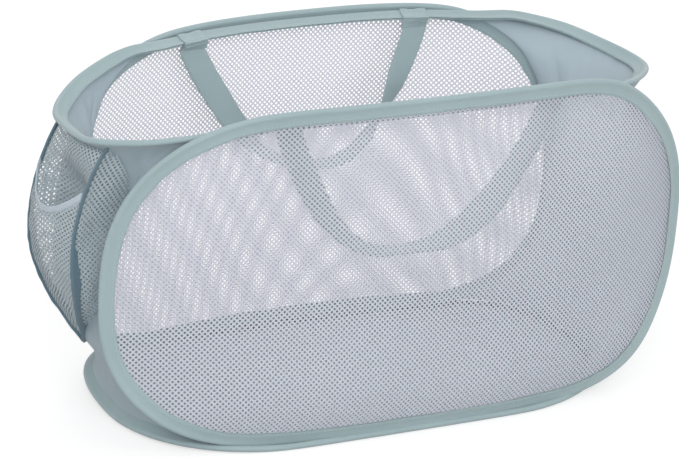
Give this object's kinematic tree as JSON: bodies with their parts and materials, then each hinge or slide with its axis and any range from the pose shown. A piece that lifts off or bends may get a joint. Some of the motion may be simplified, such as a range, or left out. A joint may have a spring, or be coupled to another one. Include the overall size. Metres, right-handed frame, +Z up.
{
  "type": "pop up laundry hamper",
  "caption": "Collapsible oblong laundry hamper: four taped spring hoops, mesh front and back, cloth ends and base, two strap handles and a mesh end pocket.",
  "frame": {"origin": "centre of the base, on the floor", "axes": "+X along the long side away from the pocket, +Z up, front at -Y"},
  "size_m": [0.626, 0.272, 0.3179],
  "materials": {
    "tape": "matte",
    "cloth": "matte",
    "mesh": "matte",
    "piping": "matte",
    "steel": "satin"
  },
  "bodies": {
    "base": {"bottom_hoop_wire": "steel", "bottom_hoop_ferrule": "steel", "bottom_hoop_binding": "tape", "bottom_panel": "cloth", "left_end_panel": "cloth", "right_end_panel": "cloth", "pocket_upper_mesh": "mesh", "pocket_face_mesh": "mesh", "pocket_mouth_hem": "mesh", "pocket_front_gusset": "mesh", "pocket_back_gusset": "mesh", "pocket_front_piping": "piping", "pocket_back_piping": "piping"},
    "front_panel": {"front_hoop_wire": "steel", "front_hoop_ferrule": "steel", "front_hoop_binding": "tape", "front_mesh": "mesh"},
    "back_panel": {"back_hoop_wire": "steel", "back_hoop_ferrule": "steel", "back_hoop_binding": "tape", "back_mesh": "mesh"},
    "mouth": {"top_hoop_wire": "steel", "top_hoop_ferrule": "steel", "top_hoop_binding": "tape", "front_left_tab": "tape", "front_right_tab": "tape", "back_left_tab": "tape", "back_right_tab": "tape"},
    "front_handle": {"front_handle_strap": "tape"},
    "back_handle": {"back_handle_strap": "tape"}
  },
  "joints": [
    {"name": "fold", "type": "hinge", "parent": "base", "child": "front_panel", "pos_m": [0, -0.13, 0.0184], "axis": [-1, 0, 0], "range_deg": [0, 74], "stiffness_Nm_per_rad": 1, "deforming": ["left_end_panel", "right_end_panel", "pocket_upper_mesh", "pocket_face_mesh", "pocket_mouth_hem", "pocket_front_gusset", "pocket_back_gusset", "pocket_front_piping", "pocket_back_piping"]},
    {"name": "fold_back", "type": "hinge", "parent": "base", "child": "back_panel", "pos_m": [0, 0.13, 0.0064], "axis": [-1, 0, 0], "range_deg": [0, 74], "stiffness_Nm_per_rad": 1},
    {"name": "mouth_level", "type": "hinge", "parent": "back_panel", "child": "mouth", "pos_m": [0, 0.13, 0.3004], "axis": [1, 0, 0], "range_deg": [0, 74]},
    {"name": "front_handle_swing", "type": "hinge", "parent": "front_panel", "child": "front_handle", "pos_m": [0, -0.10793, 0.3001], "axis": [1, 0, 0], "range_deg": [0, 170]},
    {"name": "back_handle_swing", "type": "hinge", "parent": "back_panel", "child": "back_handle", "pos_m": [0, 0.10793, 0.30315], "axis": [-1, 0, 0], "range_deg": [0, 170]}
  ],
  "couplings": [
    {"joint": "fold_back", "follows": "fold", "ratio": 1},
    {"joint": "mouth_level", "follows": "fold", "ratio": 1}
  ]
}
